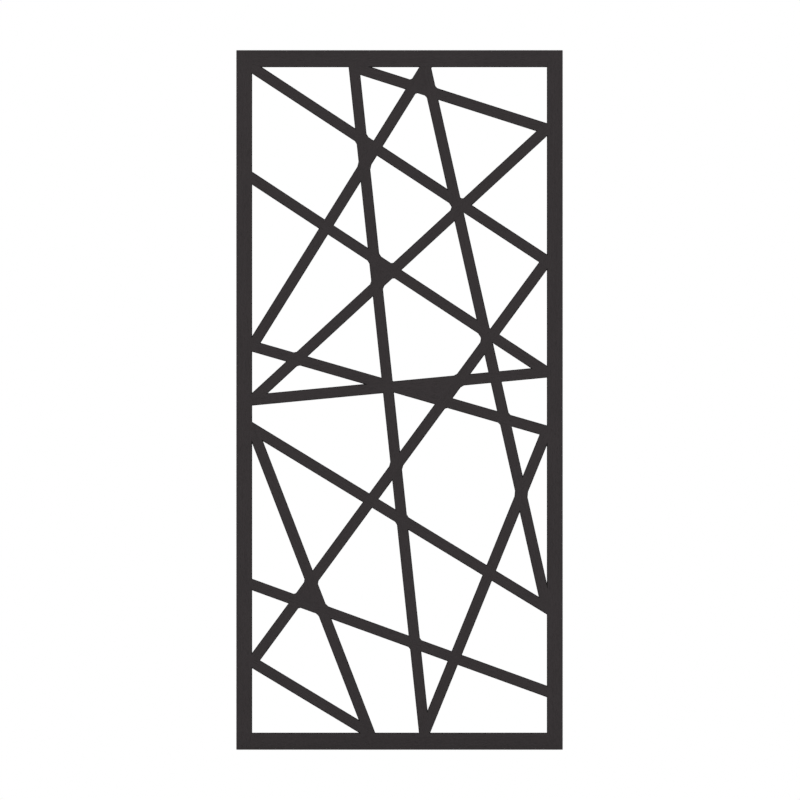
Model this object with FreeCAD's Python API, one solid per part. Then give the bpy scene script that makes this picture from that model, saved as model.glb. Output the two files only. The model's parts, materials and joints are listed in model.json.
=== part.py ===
import FreeCAD, Part
import math
import os

from FreeCAD import Vector

# Openwork room divider panel: straight bars cross at odd angles, flush in a rectangular frame.
# The bars are cross-halved through each other and stub-tenoned into stiles and rails of hardwood.
# Millimetres. X is to the right, Y to the back and Z up, from under the middle of the bottom edge.

# Frame, with its outer edges broken all round
panel_width = 840.0
panel_height = 1800.0
panel_depth = 30.0
stile_width = 41.0
rail_width = 44.0
outer_edge_break = 1.2

# Lattice bars, and the broken edges round the openings between them
bar_width = 28.3
edge_break = 1.8

# The smallest ball that passes through an opening: a lesser gap between bars is closed with a block
least_opening = 20.0

# Fillets in wide corners where bars cross: the least angle, and how far their flat face stands out of it
fillet_least_angle = 100.0
fillet_depth = 2.2

# Where bars meet the frame, along its inner edges
top_a_from_left = 262.0
top_b_from_left = 446.0
left_a_from_top = 285.5
right_a_from_top = 158.5
right_b_from_top = 498.0
left_b_from_bottom = 994.5
left_c_from_bottom = 855.5
left_d_from_bottom = 783.0
left_e_from_bottom = 381.0
left_f_from_bottom = 182.0
right_c_from_bottom = 927.5
right_d_from_bottom = 776.0
right_e_from_bottom = 320.5
right_f_from_bottom = 106.0
bottom_a_from_left = 301.5
bottom_b_from_left = 443.0

# Stub tenons on the ends of the bars
tenon_thickness = 9.0
tenon_length = 12.0
tenon_shoulder = 3.0
mortise_relief = 1.0

# Dowels in the corners of the frame
dowel_diameter = 10.0
dowel_length = 60.0
dowel_pitch = 22.0
dowel_relief = 1.0

# Threaded inserts for M8 bolts, in the bottom edge and the top edge
insert_diameter = 12.0
insert_bore = 6.8
insert_length = 25.0
insert_from_side = 120.0
insert_recess = 0.5
insert_mouth_chamfer = 0.8
insert_hole_relief = 5.0

# Sides of the frame and of its opening
outer_left = -panel_width / 2
outer_right = panel_width / 2
inner_left = outer_left + stile_width
inner_right = outer_right - stile_width
inner_bottom = rail_width
inner_top = panel_height - rail_width
front = -panel_depth / 2
back = panel_depth / 2

stations = {
    "corner": Vector(inner_left, 0, inner_top),
    "top_a": Vector(inner_left + top_a_from_left, 0, inner_top),
    "top_b": Vector(inner_left + top_b_from_left, 0, inner_top),
    "left_a": Vector(inner_left, 0, inner_top - left_a_from_top),
    "left_b": Vector(inner_left, 0, inner_bottom + left_b_from_bottom),
    "left_c": Vector(inner_left, 0, inner_bottom + left_c_from_bottom),
    "left_d": Vector(inner_left, 0, inner_bottom + left_d_from_bottom),
    "left_e": Vector(inner_left, 0, inner_bottom + left_e_from_bottom),
    "left_f": Vector(inner_left, 0, inner_bottom + left_f_from_bottom),
    "right_a": Vector(inner_right, 0, inner_top - right_a_from_top),
    "right_b": Vector(inner_right, 0, inner_top - right_b_from_top),
    "right_c": Vector(inner_right, 0, inner_bottom + right_c_from_bottom),
    "right_d": Vector(inner_right, 0, inner_bottom + right_d_from_bottom),
    "right_e": Vector(inner_right, 0, inner_bottom + right_e_from_bottom),
    "right_f": Vector(inner_right, 0, inner_bottom + right_f_from_bottom),
    "bottom_a": Vector(inner_left + bottom_a_from_left, 0, inner_bottom),
    "bottom_b": Vector(inner_left + bottom_b_from_left, 0, inner_bottom),
}

# Each bar's two stations, in the order in which the bars are laid from the back of the panel
bar_runs = {
    "lattice_bar_01": ("corner", "right_b"),
    "lattice_bar_02": ("top_a", "bottom_b"),
    "lattice_bar_03": ("top_a", "right_a"),
    "lattice_bar_04": ("top_b", "left_b"),
    "lattice_bar_05": ("top_b", "right_e"),
    "lattice_bar_06": ("right_a", "left_c"),
    "lattice_bar_07": ("left_a", "right_c"),
    "lattice_bar_08": ("left_b", "right_d"),
    "lattice_bar_09": ("left_c", "right_c"),
    "lattice_bar_10": ("right_b", "left_f"),
    "lattice_bar_11": ("left_d", "right_e"),
    "lattice_bar_12": ("left_d", "bottom_a"),
    "lattice_bar_13": ("right_d", "bottom_b"),
    "lattice_bar_14": ("left_e", "right_f"),
    "lattice_bar_15": ("left_f", "bottom_a"),
}

# Bars that share a station with a neighbour and end at its far edge
bar_stops = {
    "lattice_bar_03": ["lattice_bar_02"],
    "lattice_bar_04": ["lattice_bar_08"],
    "lattice_bar_05": ["lattice_bar_11"],
    "lattice_bar_06": ["lattice_bar_03", "lattice_bar_09"],
    "lattice_bar_07": ["lattice_bar_09"],
    "lattice_bar_10": ["lattice_bar_01", "lattice_bar_15"],
    "lattice_bar_12": ["lattice_bar_11"],
    "lattice_bar_13": ["lattice_bar_02", "lattice_bar_08"],
    "lattice_bar_15": ["lattice_bar_12"],
}


# Rings of corners or other items
def with_next(ring):
    """Each item of a ring beside the next one."""
    return zip(ring, ring[1:] + ring[:1])


def with_neighbours(ring):
    """Each item of a ring between the one before it and the next one."""
    return zip(ring[-1:] + ring[:-1], ring, ring[1:] + ring[:1])


# Flat outlines: rings of corners in the plane Y = 0
def rectangle(left, bottom, right, top):
    """Corners of an upright rectangle."""
    corners = [(left, bottom), (right, bottom), (right, top), (left, top)]
    return [Vector(x, 0, z) for x, z in corners]


def clip(outline, line):
    """The part of a convex outline on the side of a line that the line's direction looks to."""
    point, inward = line
    kept = []
    for start, end in with_next(outline):
        start_side = (start - point).dot(inward)
        end_side = (end - point).dot(inward)
        if start_side >= 0:
            kept.append(start)
        if start_side * end_side < 0:
            kept.append(start + (end - start) * (start_side / (start_side - end_side)))
    return kept


def centre(outline):
    """Mean of the corners of an outline."""
    return sum(outline, Vector()) / len(outline)


def side_lines(outline):
    """Lines along the sides of a convex outline, each as a point and the direction into the outline."""
    middle = centre(outline)
    lines = []
    for start, end in with_next(outline):
        along = (end - start).normalize()
        inward = Vector(-along.z, 0, along.x)
        lines.append((start, inward if (middle - start).dot(inward) > 0 else -inward))
    return lines


def overlaps(outline, other):
    """Whether two convex outlines share any area."""
    for line in side_lines(other):
        outline = clip(outline, line)
    return len(outline) > 2


def lets_through(outline, diameter):
    """Whether a ball of some diameter passes through a convex outline."""
    room = outline
    for point, inward in side_lines(outline):
        room = clip(room, (point + inward * (diameter / 2), inward))
    return len(room) > 2


def straightened(outline):
    """An outline without the corners that lie along its straight sides."""
    least_turn = math.radians(0.01)
    corners = []
    for before, corner, after in with_neighbours(outline):
        if (corner - before).getAngle(after - corner) > least_turn:
            corners.append(corner)
    return corners


def grown(outline, distance):
    """A convex outline with each side moved outwards by a distance."""
    inwards = [inward for point, inward in side_lines(outline)]
    corners = []
    for corner, arriving, leaving in zip(outline, inwards[-1:] + inwards[:-1], inwards):
        corners.append(corner - (arriving + leaving) * (distance / (1 + arriving.dot(leaving))))
    return corners


def raised(outline, depth):
    """Corners of an outline at a depth of the panel."""
    return [Vector(corner.x, depth, corner.z) for corner in outline]


# Faces and solids
def flat_face(corners):
    """Face within a ring of corners."""
    return Part.Face(Part.makePolygon(corners + corners[:1]))


def slab(outline, start, end):
    """Solid of an outline from one depth of the panel to another."""
    return flat_face(raised(outline, start)).extrude(Vector(0, end - start, 0))


def block(corner, opposite):
    """Box between two opposite corners."""
    low = Vector(min(corner.x, opposite.x), min(corner.y, opposite.y), min(corner.z, opposite.z))
    high = Vector(max(corner.x, opposite.x), max(corner.y, opposite.y), max(corner.z, opposite.z))
    size = high - low
    return Part.makeBox(size.x, size.y, size.z, low)


def frustum(narrow, wide):
    """Solid with flat sloping sides between two rings of as many corners."""
    faces = [flat_face(narrow), flat_face(wide)]
    for (low, high), (next_low, next_high) in with_next(list(zip(narrow, wide))):
        faces.append(flat_face([low, next_low, next_high, high]))
    return Part.makeSolid(Part.makeShell(faces))


def turned(profile, base, direction):
    """Solid turned from a profile of radius and height, standing on a base and rising in a direction."""
    corners = [Vector(radius, 0, height) for radius, height in profile]
    solid = flat_face(corners).revolve(Vector(), Vector(0, 0, 1), 360)
    solid.Placement = FreeCAD.Placement(base, FreeCAD.Rotation(Vector(0, 0, 1), direction))
    return solid


# Setting out the bars
class Bar:
    """Straight bar between two stations, inside the frame."""

    def __init__(self, start, end):
        along = (end - start).normalize()
        self.across = Vector(-along.z, 0, along.x)
        self.middle = (start + end) / 2
        self.limits = [self.edge(1), self.edge(-1)]

    def edge(self, side):
        """Line along one edge of the bar, as a point and the direction into the bar."""
        return self.middle + self.across * (side * bar_width / 2), self.across * -side

    def side_of(self, place):
        """The side of the bar's centre line on which a place lies, 1 or -1."""
        return math.copysign(1, (place - self.middle).dot(self.across))

    def stop_at(self, other):
        """End the bar at the far edge of another bar."""
        self.limits.append(other.edge(-other.side_of(self.middle)))

    def covers(self, place):
        """Whether a place lies within the bar."""
        return all((place - point).dot(inward) > 0 for point, inward in self.limits)

    def outline(self):
        """Corners of the bar as it fits in the frame."""
        outline = frame_opening
        for limit in self.limits:
            outline = clip(outline, limit)
        return outline


frame_opening = rectangle(inner_left, inner_bottom, inner_right, inner_top)
bars = {name: Bar(stations[start], stations[end]) for name, (start, end) in bar_runs.items()}
for name, stops in bar_stops.items():
    for stop in stops:
        bars[name].stop_at(bars[stop])
bar_outlines = {name: bar.outline() for name, bar in bars.items()}


def cells():
    """Outlines of the fields into which the edges of the bars divide the opening of the frame."""
    bar_faces = [flat_face(outline) for outline in bar_outlines.values()]
    divided = flat_face(frame_opening).generalFuse(bar_faces)[0]
    outlines = [[vertex.Point for vertex in face.OuterWire.OrderedVertexes] for face in divided.Faces]
    return [straightened(outline) for outline in outlines]


def on_frame(place):
    """Whether a place lies on the inner edge of the frame."""
    tolerance = 1e-6
    return any(abs((place - point).dot(inward)) < tolerance for point, inward in side_lines(frame_opening))


class Corner:
    """Corner of an opening, with a fillet where it is wide, off the frame and has room for one."""

    def __init__(self, before, place, after):
        self.place = place
        self.arriving = (place - before).normalize()
        self.leaving = (after - place).normalize()
        self.half_turn = self.arriving.getAngle(self.leaving) / 2
        self.fillet_leg = self.leg_beside(min((place - before).Length, (after - place).Length))

    def leg_beside(self, shorter_side):
        """How far a fillet runs along both sides of the corner, 0 if there is none."""
        most_of_side = 0.42
        least_of_full_size = 0.5
        if on_frame(self.place) or math.pi - 2 * self.half_turn < math.radians(fillet_least_angle):
            return 0
        full_size = fillet_depth / math.sin(self.half_turn)
        leg = min(full_size, shorter_side * most_of_side)
        return leg if leg > full_size * least_of_full_size else 0

    def eased(self):
        """The corner itself, or the two ends of the flat face of its fillet."""
        if not self.fillet_leg:
            return [self.place]
        return [self.place - self.arriving * self.fillet_leg, self.place + self.leaving * self.fillet_leg]

    def fillet(self):
        """Three-cornered fillet that fits in the corner, with a flat face across it."""
        start, end = self.eased()
        outline = [start, self.place, end]
        return with_broken_edges(slab(outline, front, back), outline)


# Fields under one bar or more, each with its bars from back to front, and the fields between the bars
covered_cells = []
openings = []
infill_outlines = []
for cell in cells():
    cover = [name for name, bar in bars.items() if bar.covers(centre(cell))]
    if cover:
        covered_cells.append((cell, cover))
    elif lets_through(cell, least_opening):
        openings.append([Corner(*places) for places in with_neighbours(cell)])
    else:
        infill_outlines.append(cell)


def flare(outline, face, inwards):
    """Tool that breaks the edges round an opening at the front or at the back of the panel."""
    narrow = raised(outline, face + inwards * edge_break)
    wide = raised(grown(outline, 2 * edge_break), face - inwards * edge_break)
    return frustum(narrow, wide)


# Tools that break the edges round each opening, and how far they reach
flares = []
for opening in openings:
    outline = [place for corner in opening for place in corner.eased()]
    reach = grown(outline, edge_break)
    flares.append((reach, flare(outline, front, 1)))
    flares.append((reach, flare(outline, back, -1)))


def with_broken_edges(solid, outline):
    """A solid with its edges broken wherever it borders an opening."""
    return solid.cut([tool for reach, tool in flares if overlaps(reach, outline)])


# Tenons of the bars along one inner edge of the frame
class FrameEdge:
    """Inner edge of a stile or a rail, with the stretch of it that each bar's tenon takes."""

    def __init__(self, start, end, outward, clear_of_ends):
        self.start = start
        self.along = (end - start).normalize()
        self.outward = outward
        self.usable = (clear_of_ends, (end - start).Length - clear_of_ends)
        self.stretches = self.tenon_stretches()

    def contact(self, outline):
        """Stretch of the edge that an outline lies against, or nothing."""
        tolerance = 1e-6
        places = []
        for corner in outline:
            if abs((corner - self.start).dot(self.outward)) < tolerance:
                places.append((corner - self.start).dot(self.along))
        return (min(places), max(places)) if len(places) > 1 else None

    def tenon_stretches(self):
        """Stretch of the tenon of each bar that has one here: the squarest bar takes its place first."""
        contacts = {name: self.contact(outline) for name, outline in bar_outlines.items()}
        meeting = [(contact[1] - contact[0], name) for name, contact in contacts.items() if contact]
        stretches = {}
        taken = []
        for length, name in sorted(meeting):
            free = [contacts[name]]
            for low, high in taken:
                below = [(start, min(end, low)) for start, end in free]
                above = [(max(start, high), end) for start, end in free]
                free = below + above
            free = [(max(start, self.usable[0]), min(end, self.usable[1])) for start, end in free]
            start, end = max(free, key=lambda piece: piece[1] - piece[0])
            if end - start - 2 * tenon_shoulder >= tenon_thickness:
                stretches[name] = (start + tenon_shoulder, end - tenon_shoulder)
            taken.append(contacts[name])
        return stretches

    def tongue(self, stretch, length):
        """Block that stands out from the edge along a stretch: a tenon, or the room for one."""
        start, end = stretch
        half_thickness = Vector(0, tenon_thickness / 2, 0)
        corner = self.start + self.along * start - half_thickness
        opposite = self.start + self.along * end + self.outward * length + half_thickness
        return block(corner, opposite)

    def mortises(self):
        """Room for all the tenons along the edge."""
        depth = tenon_length + mortise_relief
        return [self.tongue(stretch, depth) for stretch in self.stretches.values()]


dowel_reach = dowel_length / 2 + dowel_relief
bottom_left, bottom_right, top_right, top_left = frame_opening
left_edge = FrameEdge(bottom_left, top_left, Vector(-1, 0, 0), 0)
right_edge = FrameEdge(bottom_right, top_right, Vector(1, 0, 0), 0)
bottom_edge = FrameEdge(bottom_left, bottom_right, Vector(0, 0, -1), dowel_reach)
top_edge = FrameEdge(top_left, top_right, Vector(0, 0, 1), dowel_reach)
frame_edges = [left_edge, right_edge, bottom_edge, top_edge]


def lattice_bar(name):
    """Bar halved where others cross it: bars that share a field take equal layers of its depth."""
    waste = []
    for cell, cover in covered_cells:
        if name in cover and len(cover) > 1:
            layer = panel_depth / len(cover)
            layer_back = back - layer * cover.index(name)
            layer_front = layer_back - layer
            if name != cover[0]:
                waste.append(slab(cell, layer_back, back))
            if name != cover[-1]:
                waste.append(slab(cell, front, layer_front))
    outline = bar_outlines[name]
    bar = with_broken_edges(slab(outline, front, back).cut(waste), outline)
    tenons = []
    for edge in frame_edges:
        if name in edge.stretches:
            tenons.append(edge.tongue(edge.stretches[name], tenon_length))
    return bar.fuse(tenons).removeSplitter()


# Corner dowels, two to a corner, through the end of each rail into the stile
dowel_places = []
for joint_x in (inner_left, inner_right):
    for rail_middle in (rail_width / 2, panel_height - rail_width / 2):
        for offset in (-dowel_pitch / 2, dowel_pitch / 2):
            dowel_places.append(Vector(joint_x, 0, rail_middle + offset))
to_right = Vector(1, 0, 0)


def dowel(place, length):
    """Dowel, or a hole for one, half in the rail and half in the stile."""
    return Part.makeCylinder(dowel_diameter / 2, length, place - to_right * (length / 2), to_right)


dowel_holes = [dowel(place, 2 * dowel_reach) for place in dowel_places]

# Threaded inserts, two in the bottom edge and two in the top edge
insert_x = panel_width / 2 - insert_from_side
floor_places = [Vector(x, 0, 0) for x in (-insert_x, insert_x)]
ceiling_places = [Vector(x, 0, panel_height) for x in (-insert_x, insert_x)]
upwards = Vector(0, 0, 1)


def threaded_insert(place, into_rail):
    """Sleeve for a bolt, sunk just under the edge of the rail."""
    bore = insert_bore / 2
    radius = insert_diameter / 2
    profile = [
        (bore + insert_mouth_chamfer, 0),
        (radius, 0),
        (radius, insert_length),
        (bore, insert_length),
        (bore, insert_mouth_chamfer),
    ]
    return turned(profile, place + into_rail * insert_recess, into_rail)


def insert_hole(place, into_rail):
    """Hole for an insert, deeper than the sleeve so that a long bolt has room."""
    depth = insert_recess + insert_length + insert_hole_relief
    return Part.makeCylinder(insert_diameter / 2, depth, place, into_rail)


# Frame members, cut from a panel whose outer edges are broken all round
eased_panel = block(Vector(outer_left, front, 0), Vector(outer_right, back, panel_height))
eased_panel = eased_panel.makeChamfer(outer_edge_break, eased_panel.Edges)


def frame_member(outline, holes):
    """Stile or rail with its holes and mortises."""
    blank = slab(outline, front, back).common(eased_panel)
    return with_broken_edges(blank, outline).cut(holes).removeSplitter()


left_stile = rectangle(outer_left, 0, inner_left, panel_height)
right_stile = rectangle(inner_right, 0, outer_right, panel_height)
bottom_rail = rectangle(inner_left, 0, inner_right, inner_bottom)
top_rail = rectangle(inner_left, inner_top, inner_right, panel_height)
floor_holes = [insert_hole(place, upwards) for place in floor_places]
ceiling_holes = [insert_hole(place, -upwards) for place in ceiling_places]

nodes = {
    "left_stile": frame_member(left_stile, left_edge.mortises() + dowel_holes),
    "right_stile": frame_member(right_stile, right_edge.mortises() + dowel_holes),
    "bottom_rail": frame_member(bottom_rail, bottom_edge.mortises() + dowel_holes + floor_holes),
    "top_rail": frame_member(top_rail, top_edge.mortises() + dowel_holes + ceiling_holes),
}
for name in bars:
    nodes[name] = lattice_bar(name)
groups = {
    "infill_blocks": [slab(outline, front, back) for outline in infill_outlines],
    "corner_fillets": [corner.fillet() for opening in openings for corner in opening if corner.fillet_leg],
    "corner_dowels": [dowel(place, dowel_length) for place in dowel_places],
    "floor_inserts": [threaded_insert(place, upwards) for place in floor_places],
    "ceiling_inserts": [threaded_insert(place, -upwards) for place in ceiling_places],
}
for name, solids in groups.items():
    nodes[name] = Part.makeCompound(solids)

os.makedirs("parts", exist_ok=True)
for name, shape in nodes.items():
    shape.exportStep(f"parts/{name}.step")
for name, solids in groups.items():
    print(len(solids), name)
print(len(openings), "openings and", len(nodes), "nodes")
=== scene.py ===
import json
import math
from collections import namedtuple

import bmesh
import bpy
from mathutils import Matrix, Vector


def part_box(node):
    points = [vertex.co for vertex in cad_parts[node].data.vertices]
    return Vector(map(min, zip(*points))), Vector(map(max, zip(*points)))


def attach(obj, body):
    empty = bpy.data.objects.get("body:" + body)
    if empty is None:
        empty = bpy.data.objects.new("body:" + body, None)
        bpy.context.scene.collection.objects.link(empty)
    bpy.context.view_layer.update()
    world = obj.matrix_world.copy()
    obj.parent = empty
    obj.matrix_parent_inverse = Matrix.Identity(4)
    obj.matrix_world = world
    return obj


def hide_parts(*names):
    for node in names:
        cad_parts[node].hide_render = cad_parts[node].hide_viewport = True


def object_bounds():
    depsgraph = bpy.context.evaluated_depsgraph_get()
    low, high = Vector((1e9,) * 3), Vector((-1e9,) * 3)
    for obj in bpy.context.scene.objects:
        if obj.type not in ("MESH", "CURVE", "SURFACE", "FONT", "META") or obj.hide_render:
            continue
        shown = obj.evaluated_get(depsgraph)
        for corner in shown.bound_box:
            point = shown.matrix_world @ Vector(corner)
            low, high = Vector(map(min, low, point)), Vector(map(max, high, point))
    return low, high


# Openwork room divider panel in charcoal paint: metres, Z up, the front looks to -Y.

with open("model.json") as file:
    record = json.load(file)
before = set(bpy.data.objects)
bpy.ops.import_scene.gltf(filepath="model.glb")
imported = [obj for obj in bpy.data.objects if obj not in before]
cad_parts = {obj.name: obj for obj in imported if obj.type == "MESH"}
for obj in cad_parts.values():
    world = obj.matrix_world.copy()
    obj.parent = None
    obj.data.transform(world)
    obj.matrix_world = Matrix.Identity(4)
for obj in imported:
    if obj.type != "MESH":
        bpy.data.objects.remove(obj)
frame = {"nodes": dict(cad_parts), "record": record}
cad_low, cad_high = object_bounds()
panel_middle = (cad_low + cad_high) / 2
panel_half = (cad_high - cad_low) / 2

# Unit of the lengths in the record
MILLIMETRE = 0.001

# The picture: its size in pixels, and the four sides of the panel in it
PICTURE = 800
PANEL_LEFT, PANEL_RIGHT = 236.1, 562.95
PANEL_TOP, PANEL_BOTTOM = 50.15, 749.75
CAMERA_DISTANCE = 6.0

# Marks in a surface: size in three directions, detail of their noise, and its span where they come in
Marks = namedtuple("Marks", "size detail start full")

# Charcoal paint on open-grained wood: linear colours, then the marks, their heights and their weights
PAINT_DEEP = (0.0285, 0.0243, 0.0252, 1)
PAINT_PALE = (0.0335, 0.0286, 0.0297, 1)
PAINT_IN_PORES = (0.0160, 0.0135, 0.0140, 1)
# Painted shade: near-black colour for the broken edges round the openings, standing in for the shade on
# those bevels
PAINTED_SHADE_ON_EDGES = (0.0040, 0.0034, 0.0035, 1)
PAINT_RUBBED = (0.0440, 0.0380, 0.0390, 1)
PAINT_SPECULAR = 0.10
PAINT_ROUGHNESS = 0.50
STREAKS = Marks((0.260, 0.0042, 0.0042), 4, 0.30, 0.70)
PORES = Marks((0.0150, 0.0008, 0.0008), 1, 0.56, 0.68)
PEEL = Marks((0.0014, 0.0014, 0.0014), 0, 0.20, 0.80)
CLOUDS = Marks((0.110, 0.110, 0.110), 3, 0.30, 0.70)
RUBS = Marks((0.060, 0.060, 0.060), 4, 0.40, 0.70)
STREAK_HEIGHT = 0.00003
PEEL_HEIGHT = 0.000015
PORE_DEPTH = 0.00011
PORE_STRENGTH = 0.55
STREAK_ON_COLOUR = 0.5
CLOUD_ON_COLOUR = 0.5
CLOUD_ON_ROUGHNESS = 0.10
RUB_ON_ROUGHNESS = -0.12
GRAIN_SHIFT = 0.37

# Broken edges: how far their normals may be from their slope, and how far in the outer ones may lie
EDGE_SLOPE = math.radians(45)
SLOPE_SURE, SLOPE_LOST = 0.05, 0.20
OUTER_SURE, OUTER_LOST = 0.004, 0.008

# Bare beech
BEECH_PALE = (0.60, 0.41, 0.24, 1)
BEECH_DARK = (0.48, 0.30, 0.155, 1)
BEECH_STREAKS = Marks((0.045, 0.0012, 0.0012), 4, 0.35, 0.65)
BEECH_FLECKS = Marks((0.003, 0.0005, 0.0005), 1, 0.60, 0.70)
BEECH_FLECK_STRENGTH = 0.5
BEECH_ROUGHNESS = 0.55
BEECH_STREAK_ON_ROUGHNESS = 0.15
BEECH_STREAK_HEIGHT = 0.00003

# Plated steel, turned
STEEL_PALE = (0.66, 0.66, 0.64, 1)
STEEL_DARK = (0.55, 0.55, 0.52, 1)
STEEL_CLOUDS = Marks((0.003, 0.003, 0.003), 3, 0.35, 0.65)
STEEL_TURNING = Marks((0.012, 0.012, 0.00012), 1, 0.30, 0.70)
STEEL_ROUGHNESS = 0.28
STEEL_CLOUD_ON_ROUGHNESS = 0.14
STEEL_TURNING_HEIGHT = 0.000008

# Thread and mouth of the inserts: the flat is the share of the pitch at the crest, and at the root
THREAD_MAJOR_RADIUS = 0.0040
THREAD_PITCH = 0.00125
THREAD_FLAT = 0.29
MOUTH_CHAMFER = 0.0008
SLOT_DEPTH = 0.0016
SLOT_HALF_ANGLE = math.radians(12)

# Corners of the inserts: how many go round and up a pitch, and how near to each other two become one
TURN_STEPS = 36
STEPS_PER_PITCH = 6
SLOT_WALL_ANGLE = math.radians(0.01)
SAME_PLACE = 5e-6

# Studio: the lamps by their degrees round from the front and up from the floor, and their strength
AMBIENT = (0.55, 0.55, 0.55, 1)
WHITE = (1, 1, 1, 1)
FLOOR_COLOUR = (0.84, 0.84, 0.84, 1)
FLOOR_ROUGHNESS = 0.9
FLOOR_SIZE = 60.0
FLOOR_FADE_START = 2.5
FLOOR_FADE_END = 9.0
LAMP_SPREAD = math.radians(35)
LAMPS = {
    "key": (-32, 36, 0.90),
    "fill": (38, 20, 0.60),
    "back": (158, 40, 0.90),
}


class Shader:
    """Node tree of a new material, with short ways to add nodes to it."""

    def __init__(self, name):
        self.material = bpy.data.materials.new(name)
        self.material.use_nodes = True
        self.tree = self.material.node_tree
        self.surface = self.tree.nodes["Principled BSDF"]

    def feed(self, socket, value):
        """Links a socket to an input, or sets the input to a constant."""
        if isinstance(value, bpy.types.NodeSocket):
            self.tree.links.new(value, socket)
        else:
            socket.default_value = value

    def coordinates(self, output):
        """Object coordinates or object normals."""
        return self.tree.nodes.new("ShaderNodeTexCoord").outputs[output]

    def mapped(self, vector, **changes):
        """A vector changed by a Scale, a Rotation and a Location, in that order."""
        node = self.tree.nodes.new("ShaderNodeMapping")
        self.feed(node.inputs["Vector"], vector)
        for name, value in changes.items():
            self.feed(node.inputs[name], value)
        return node.outputs[0]

    def parts(self, vector):
        """The three parts of a vector."""
        node = self.tree.nodes.new("ShaderNodeSeparateXYZ")
        self.feed(node.inputs[0], vector)
        return node.outputs

    def maths(self, operation, *numbers):
        """Result of one sum on some numbers."""
        node = self.tree.nodes.new("ShaderNodeMath")
        node.operation = operation
        for socket, number in zip(node.inputs, numbers):
            self.feed(socket, number)
        return node.outputs[0]

    def weighted(self, start, *terms):
        """A number, and values added to it by their weights."""
        for value, weight in terms:
            start = self.maths("MULTIPLY_ADD", value, weight, start)
        return start

    def ramp(self, value, from_low, from_high, to_low=0.0, to_high=1.0):
        """A value eased from one range to another, and held at its ends."""
        node = self.tree.nodes.new("ShaderNodeMapRange")
        node.interpolation_type = "SMOOTHSTEP"
        for socket, number in zip(node.inputs, (value, from_low, from_high, to_low, to_high)):
            self.feed(socket, number)
        return node.outputs[0]

    def marks(self, vector, kind):
        """0 between the marks of a kind, and 1 in them."""
        node = self.tree.nodes.new("ShaderNodeTexNoise")
        per_metre = [1 / length for length in kind.size]
        self.feed(node.inputs["Vector"], self.mapped(vector, Scale=per_metre))
        self.feed(node.inputs["Scale"], 1.0)
        self.feed(node.inputs["Detail"], kind.detail)
        return self.ramp(node.outputs[0], kind.start, kind.full)

    def mix(self, share, first, second):
        """Colour between two colours."""
        node = self.tree.nodes.new("ShaderNodeMix")
        node.data_type = "RGBA"
        inputs = [socket for socket in node.inputs if socket.enabled]
        for socket, value in zip(inputs, (share, first, second)):
            self.feed(socket, value)
        return next(socket for socket in node.outputs if socket.enabled)

    def bump(self, height):
        """Normals of a surface with a height in metres."""
        node = self.tree.nodes.new("ShaderNodeBump")
        self.feed(node.inputs["Distance"], 1.0)
        self.feed(node.inputs["Height"], height)
        return node.outputs[0]

    def finish(self, **inputs):
        """Sets the inputs of the surface, and gives the material."""
        for name, value in inputs.items():
            self.feed(self.surface.inputs[name.replace("_", " ")], value)
        return self.material


# Materials
def broken_edges(shader):
    """Where the surface slopes at half a right angle between a face of the panel and its sides."""
    facing = shader.maths("ABSOLUTE", shader.parts(shader.coordinates("Normal"))["Y"])
    off_slope = shader.maths("ABSOLUTE", shader.maths("SUBTRACT", facing, math.cos(EDGE_SLOPE)))
    return shader.ramp(off_slope, SLOPE_SURE, SLOPE_LOST, 1.0, 0.0)


def outer_edges(shader, place):
    """Where a place lies beside the outer edges of the panel."""
    parts = shader.parts(place)
    aside = shader.maths("ABSOLUTE", shader.maths("SUBTRACT", parts["X"], panel_middle.x))
    above = shader.maths("ABSOLUTE", shader.maths("SUBTRACT", parts["Z"], panel_middle.z))
    from_side = shader.maths("SUBTRACT", panel_half.x, aside)
    from_end = shader.maths("SUBTRACT", panel_half.z, above)
    inwards = shader.maths("MINIMUM", from_side, from_end)
    return shader.ramp(inwards, OUTER_SURE, OUTER_LOST, 1.0, 0.0)


def painted_wood(name, angle, shift):
    """Matt charcoal paint on open-grained wood, with the grain at an angle in the plane of the panel,
    and painted shade on the broken edges round the openings.
    """
    shader = Shader(name)
    place = shader.coordinates("Object")
    grain = shader.mapped(place, Location=(shift, shift, shift), Rotation=(0, angle, 0))
    streaks = shader.marks(grain, STREAKS)
    pores = shader.marks(grain, PORES)
    peel = shader.marks(place, PEEL)
    clouds = shader.marks(place, CLOUDS)
    edges = broken_edges(shader)
    outer = outer_edges(shader, place)
    rubs = shader.marks(place, RUBS)
    rubbed = shader.maths("MULTIPLY", shader.maths("MULTIPLY", edges, outer), rubs)
    # Painted shade: mask of the broken edges round the openings, with the outer edges left out
    painted_edge_shade = shader.maths("MULTIPLY", edges, shader.maths("SUBTRACT", 1.0, outer))

    tone = shader.weighted(0, (streaks, STREAK_ON_COLOUR), (clouds, CLOUD_ON_COLOUR))
    colour = shader.mix(tone, PAINT_DEEP, PAINT_PALE)
    colour = shader.mix(shader.weighted(0, (pores, PORE_STRENGTH)), colour, PAINT_IN_PORES)
    # Painted shade: the broken edges round the openings are coloured near black where their shade would
    # fall
    colour = shader.mix(painted_edge_shade, colour, PAINTED_SHADE_ON_EDGES)
    colour = shader.mix(rubbed, colour, PAINT_RUBBED)
    roughness = shader.weighted(
        PAINT_ROUGHNESS,
        (clouds, CLOUD_ON_ROUGHNESS),
        (rubbed, RUB_ON_ROUGHNESS),
    )
    height = shader.weighted(0, (streaks, STREAK_HEIGHT), (peel, PEEL_HEIGHT), (pores, -PORE_DEPTH))
    return shader.finish(
        Base_Color=colour,
        Roughness=roughness,
        Normal=shader.bump(height),
        Specular_IOR_Level=PAINT_SPECULAR,
    )


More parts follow.
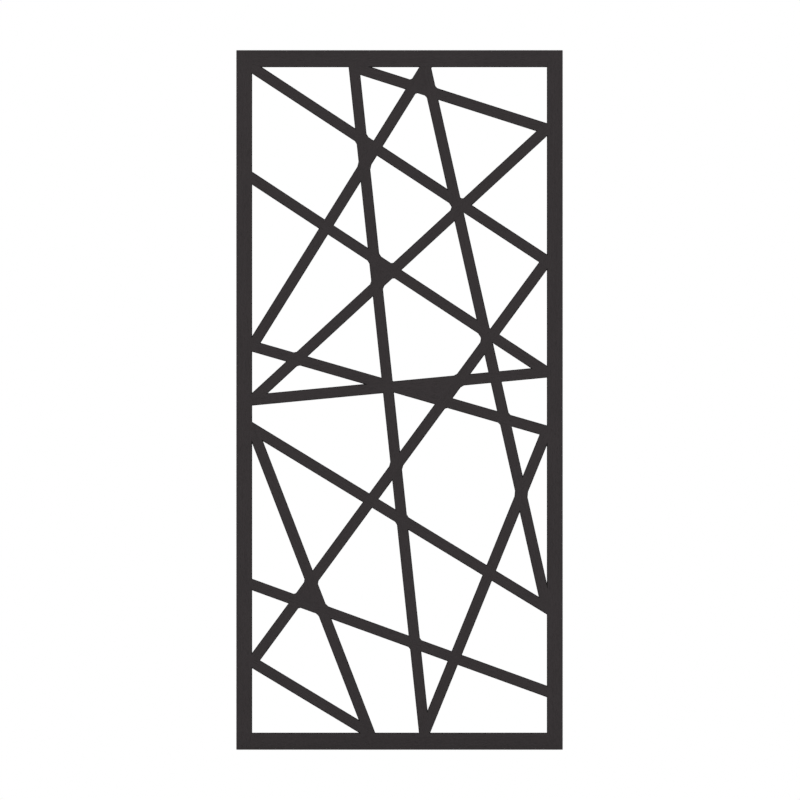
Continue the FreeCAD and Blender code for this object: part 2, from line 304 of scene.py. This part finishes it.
def bare_beech(name):
    """Bare beech with the grain from side to side."""
    shader = Shader(name)
    place = shader.coordinates("Object")
    streaks = shader.marks(place, BEECH_STREAKS)
    flecks = shader.marks(place, BEECH_FLECKS)
    colour = shader.mix(streaks, BEECH_PALE, BEECH_DARK)
    colour = shader.mix(shader.weighted(0, (flecks, BEECH_FLECK_STRENGTH)), colour, BEECH_DARK)
    roughness = shader.weighted(BEECH_ROUGHNESS, (streaks, BEECH_STREAK_ON_ROUGHNESS))
    normal = shader.bump(shader.weighted(0, (streaks, BEECH_STREAK_HEIGHT)))
    return shader.finish(Base_Color=colour, Roughness=roughness, Normal=normal)


def plated_steel(name):
    """Zinc-plated steel, turned, with a cloudy sheen."""
    shader = Shader(name)
    place = shader.coordinates("Object")
    clouds = shader.marks(place, STEEL_CLOUDS)
    turning = shader.marks(place, STEEL_TURNING)
    colour = shader.mix(clouds, STEEL_DARK, STEEL_PALE)
    roughness = shader.weighted(STEEL_ROUGHNESS, (clouds, STEEL_CLOUD_ON_ROUGHNESS))
    normal = shader.bump(shader.weighted(0, (turning, STEEL_TURNING_HEIGHT)))
    return shader.finish(Base_Color=colour, Roughness=roughness, Normal=normal, Metallic=1.0)


def grain_angle(name):
    """Angle of a piece's length in the plane of the panel, from the spread of its corners."""
    corners = [vertex.co for vertex in frame["nodes"][name].data.vertices]
    middle = sum(corners, Vector()) / len(corners)
    across = sum((corner.x - middle.x) ** 2 for corner in corners)
    upwards = sum((corner.z - middle.z) ** 2 for corner in corners)
    both = sum((corner.x - middle.x) * (corner.z - middle.z) for corner in corners)
    return math.atan2(2 * both, across - upwards) / 2


def dress(name, material):
    """Gives a carried-over piece its material."""
    slots = frame["nodes"][name].data.materials
    slots.clear()
    slots.append(material)


# Threaded inserts
def bore_radius(turn, height, minor_radius):
    """Radius of the threaded bore at a turn round its axis and a height above its mouth."""
    phase = (height / THREAD_PITCH - turn / (2 * math.pi)) % 1
    from_crest = (abs(2 * phase - 1) - THREAD_FLAT) / (1 - 2 * THREAD_FLAT)
    thread = minor_radius + (THREAD_MAJOR_RADIUS - minor_radius) * min(max(from_crest, 0), 1)
    return max(thread, minor_radius + MOUTH_CHAMFER - height)


def slot_floor(turn):
    """Depth of the mouth of an insert below its rim: two slots for a driver cross it."""
    from_slot = abs((turn + math.pi / 2) % math.pi - math.pi / 2)
    return SLOT_DEPTH if from_slot < SLOT_HALF_ANGLE else 0.0


def insert_turns():
    """Turns round an insert's axis at which its corners lie, two of them at each wall of its slots."""
    walls = [slot + side * SLOT_HALF_ANGLE for slot in (0, math.pi) for side in (-1, 1)]
    turns = [2 * math.pi * step / TURN_STEPS for step in range(TURN_STEPS)]
    turns += [(wall + side * SLOT_WALL_ANGLE) % (2 * math.pi) for wall in walls for side in (-1, 1)]
    return sorted(turns)


def insert_profile(turn, length, outer_radius, minor_radius):
    """Radii and heights of an insert at a turn: down its outside, and back through its bore."""
    floor = slot_floor(turn)
    step_count = round(length / THREAD_PITCH * STEPS_PER_PITCH)
    profile = [(outer_radius, length), (outer_radius, floor)]
    for step in range(step_count + 1):
        height = max(length * step / step_count, floor)
        profile.append((bore_radius(turn, height, minor_radius), height))
    return profile


def add_insert(mesh, mouth, into_rail, sizes):
    """Adds a threaded sleeve to a mesh, from the middle of its mouth into the rail."""
    columns = []
    for turn in insert_turns():
        column = []
        for radius, height in insert_profile(turn, *sizes):
            x = mouth.x + radius * math.cos(turn)
            y = mouth.y + radius * math.sin(turn)
            column.append(mesh.verts.new((x, y, mouth.z + into_rail * height)))
        columns.append(column)
    for column, next_column in zip(columns, columns[1:] + columns[:1]):
        for index in range(len(column)):
            corners = (column[index - 1], column[index], next_column[index], next_column[index - 1])
            mesh.faces.new(corners)


def threaded_inserts(name, node, into_rail):
    """Pair of threaded inserts in place of a node."""
    low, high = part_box(node)
    outer_radius = (high.y - low.y) / 2
    minor_radius = frame["record"]["mounts"][0]["dims"]["hole_r_mm"] * MILLIMETRE
    sizes = (high.z - low.z, outer_radius, minor_radius)
    mesh = bmesh.new()
    for x in (low.x + outer_radius, high.x - outer_radius):
        mouth = Vector((x, (low.y + high.y) / 2, low.z if into_rail > 0 else high.z))
        add_insert(mesh, mouth, into_rail, sizes)
    bmesh.ops.remove_doubles(mesh, verts=mesh.verts, dist=SAME_PLACE)
    bmesh.ops.dissolve_degenerate(mesh, edges=mesh.edges, dist=SAME_PLACE)
    bmesh.ops.recalc_face_normals(mesh, faces=mesh.faces)
    piece = bpy.data.objects.new(name, bpy.data.meshes.new(name))
    mesh.to_mesh(piece.data)
    mesh.free()
    bpy.context.scene.collection.objects.link(piece)
    piece.data.materials.append(plated_steel(name))
    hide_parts(node)
    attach(piece, "root")


# Studio
def soft_light(name, round_from_front, upwards, strength):
    """Distant soft light, from a number of degrees round from the front and up from the floor."""
    light = bpy.data.lights.new(name, "SUN")
    light.angle = LAMP_SPREAD
    light.energy = strength
    lamp = bpy.data.objects.new(name, light)
    lamp.rotation_euler = (math.radians(90 - upwards), 0, math.radians(round_from_front))
    bpy.context.scene.collection.objects.link(lamp)


def seen_or_mirrored(tree):
    """1 for rays that are seen, also by way of metal or glass, and 0 for rays of plain light."""
    path = tree.nodes.new("ShaderNodeLightPath")
    share = path.outputs["Is Camera Ray"]
    for ray in ("Is Glossy Ray", "Is Transmission Ray"):
        either = tree.nodes.new("ShaderNodeMath")
        either.operation = "MAXIMUM"
        tree.links.new(share, either.inputs[0])
        tree.links.new(path.outputs[ray], either.inputs[1])
        share = either.outputs[0]
    return share


def mixed_shaders(tree, share, first, second):
    """Shader between two shaders."""
    mix = tree.nodes.new("ShaderNodeMixShader")
    tree.links.new(share, mix.inputs[0])
    tree.links.new(first, mix.inputs[1])
    tree.links.new(second, mix.inputs[2])
    return mix.outputs[0]


def floor_material():
    """Pale matt floor that shows as plain white far from the panel."""
    shader = Shader("floor")
    shader.finish(Base_Color=FLOOR_COLOUR, Roughness=FLOOR_ROUGHNESS)
    distance = shader.tree.nodes.new("ShaderNodeVectorMath")
    distance.operation = "LENGTH"
    shader.feed(distance.inputs[0], shader.coordinates("Object"))
    fade = shader.ramp(distance.outputs["Value"], FLOOR_FADE_START, FLOOR_FADE_END)
    share = shader.maths("MULTIPLY", fade, seen_or_mirrored(shader.tree))
    white = shader.tree.nodes.new("ShaderNodeEmission")
    shader.feed(white.inputs["Color"], WHITE)
    surface = mixed_shaders(shader.tree, share, shader.surface.outputs[0], white.outputs[0])
    shader.feed(shader.tree.nodes["Material Output"].inputs["Surface"], surface)
    return shader.material


def floor_plane():
    """Floor under the panel."""
    half = FLOOR_SIZE / 2
    corners = [(-half, -half, 0), (half, -half, 0), (half, half, 0), (-half, half, 0)]
    mesh = bpy.data.meshes.new("floor")
    mesh.from_pydata(corners, [], [(0, 1, 2, 3)])
    mesh.materials.append(floor_material())
    floor = bpy.data.objects.new("floor", mesh)
    bpy.context.scene.collection.objects.link(floor)


def white_world():
    """Even grey light, and plain white where the world is seen."""
    world = bpy.data.worlds.new("studio")
    world.use_nodes = True
    bpy.context.scene.world = world
    tree = world.node_tree
    tree.nodes.clear()
    light = tree.nodes.new("ShaderNodeBackground")
    light.inputs["Color"].default_value = AMBIENT
    white = tree.nodes.new("ShaderNodeBackground")
    white.inputs["Color"].default_value = WHITE
    output = tree.nodes.new("ShaderNodeOutputWorld")
    surface = mixed_shaders(tree, seen_or_mirrored(tree), light.outputs[0], white.outputs[0])
    tree.links.new(surface, output.inputs["Surface"])


def front_camera():
    """Level camera without perspective, with the panel where the picture has it."""
    scale = (cad_high.z - cad_low.z) / (PANEL_BOTTOM - PANEL_TOP)
    x = panel_middle.x + (PICTURE / 2 - (PANEL_LEFT + PANEL_RIGHT) / 2) * scale
    z = panel_middle.z + ((PANEL_TOP + PANEL_BOTTOM) / 2 - PICTURE / 2) * scale
    data = bpy.data.cameras.new("front")
    data.type = "ORTHO"
    data.ortho_scale = PICTURE * scale
    camera = bpy.data.objects.new("front", data)
    camera.location = (x, cad_low.y - CAMERA_DISTANCE, z)
    camera.rotation_euler = (math.pi / 2, 0, 0)
    bpy.context.scene.collection.objects.link(camera)
    bpy.context.scene.camera = camera


# Pieces
UNPAINTED = ("corner_dowels", "floor_inserts", "ceiling_inserts")
painted = sorted(name for name in frame["nodes"] if name not in UNPAINTED)
for number, name in enumerate(painted):
    dress(name, painted_wood(f"paint_{name}", grain_angle(name), number * GRAIN_SHIFT))
dress("corner_dowels", bare_beech("beech"))
threaded_inserts("threaded_inserts_floor", "floor_inserts", 1)
threaded_inserts("threaded_inserts_ceiling", "ceiling_inserts", -1)

# Floor, light and camera
for lamp_name, lamp in LAMPS.items():
    soft_light(lamp_name, *lamp)
floor_plane()
white_world()
front_camera()
bpy.context.scene.view_settings.view_transform = "Standard"
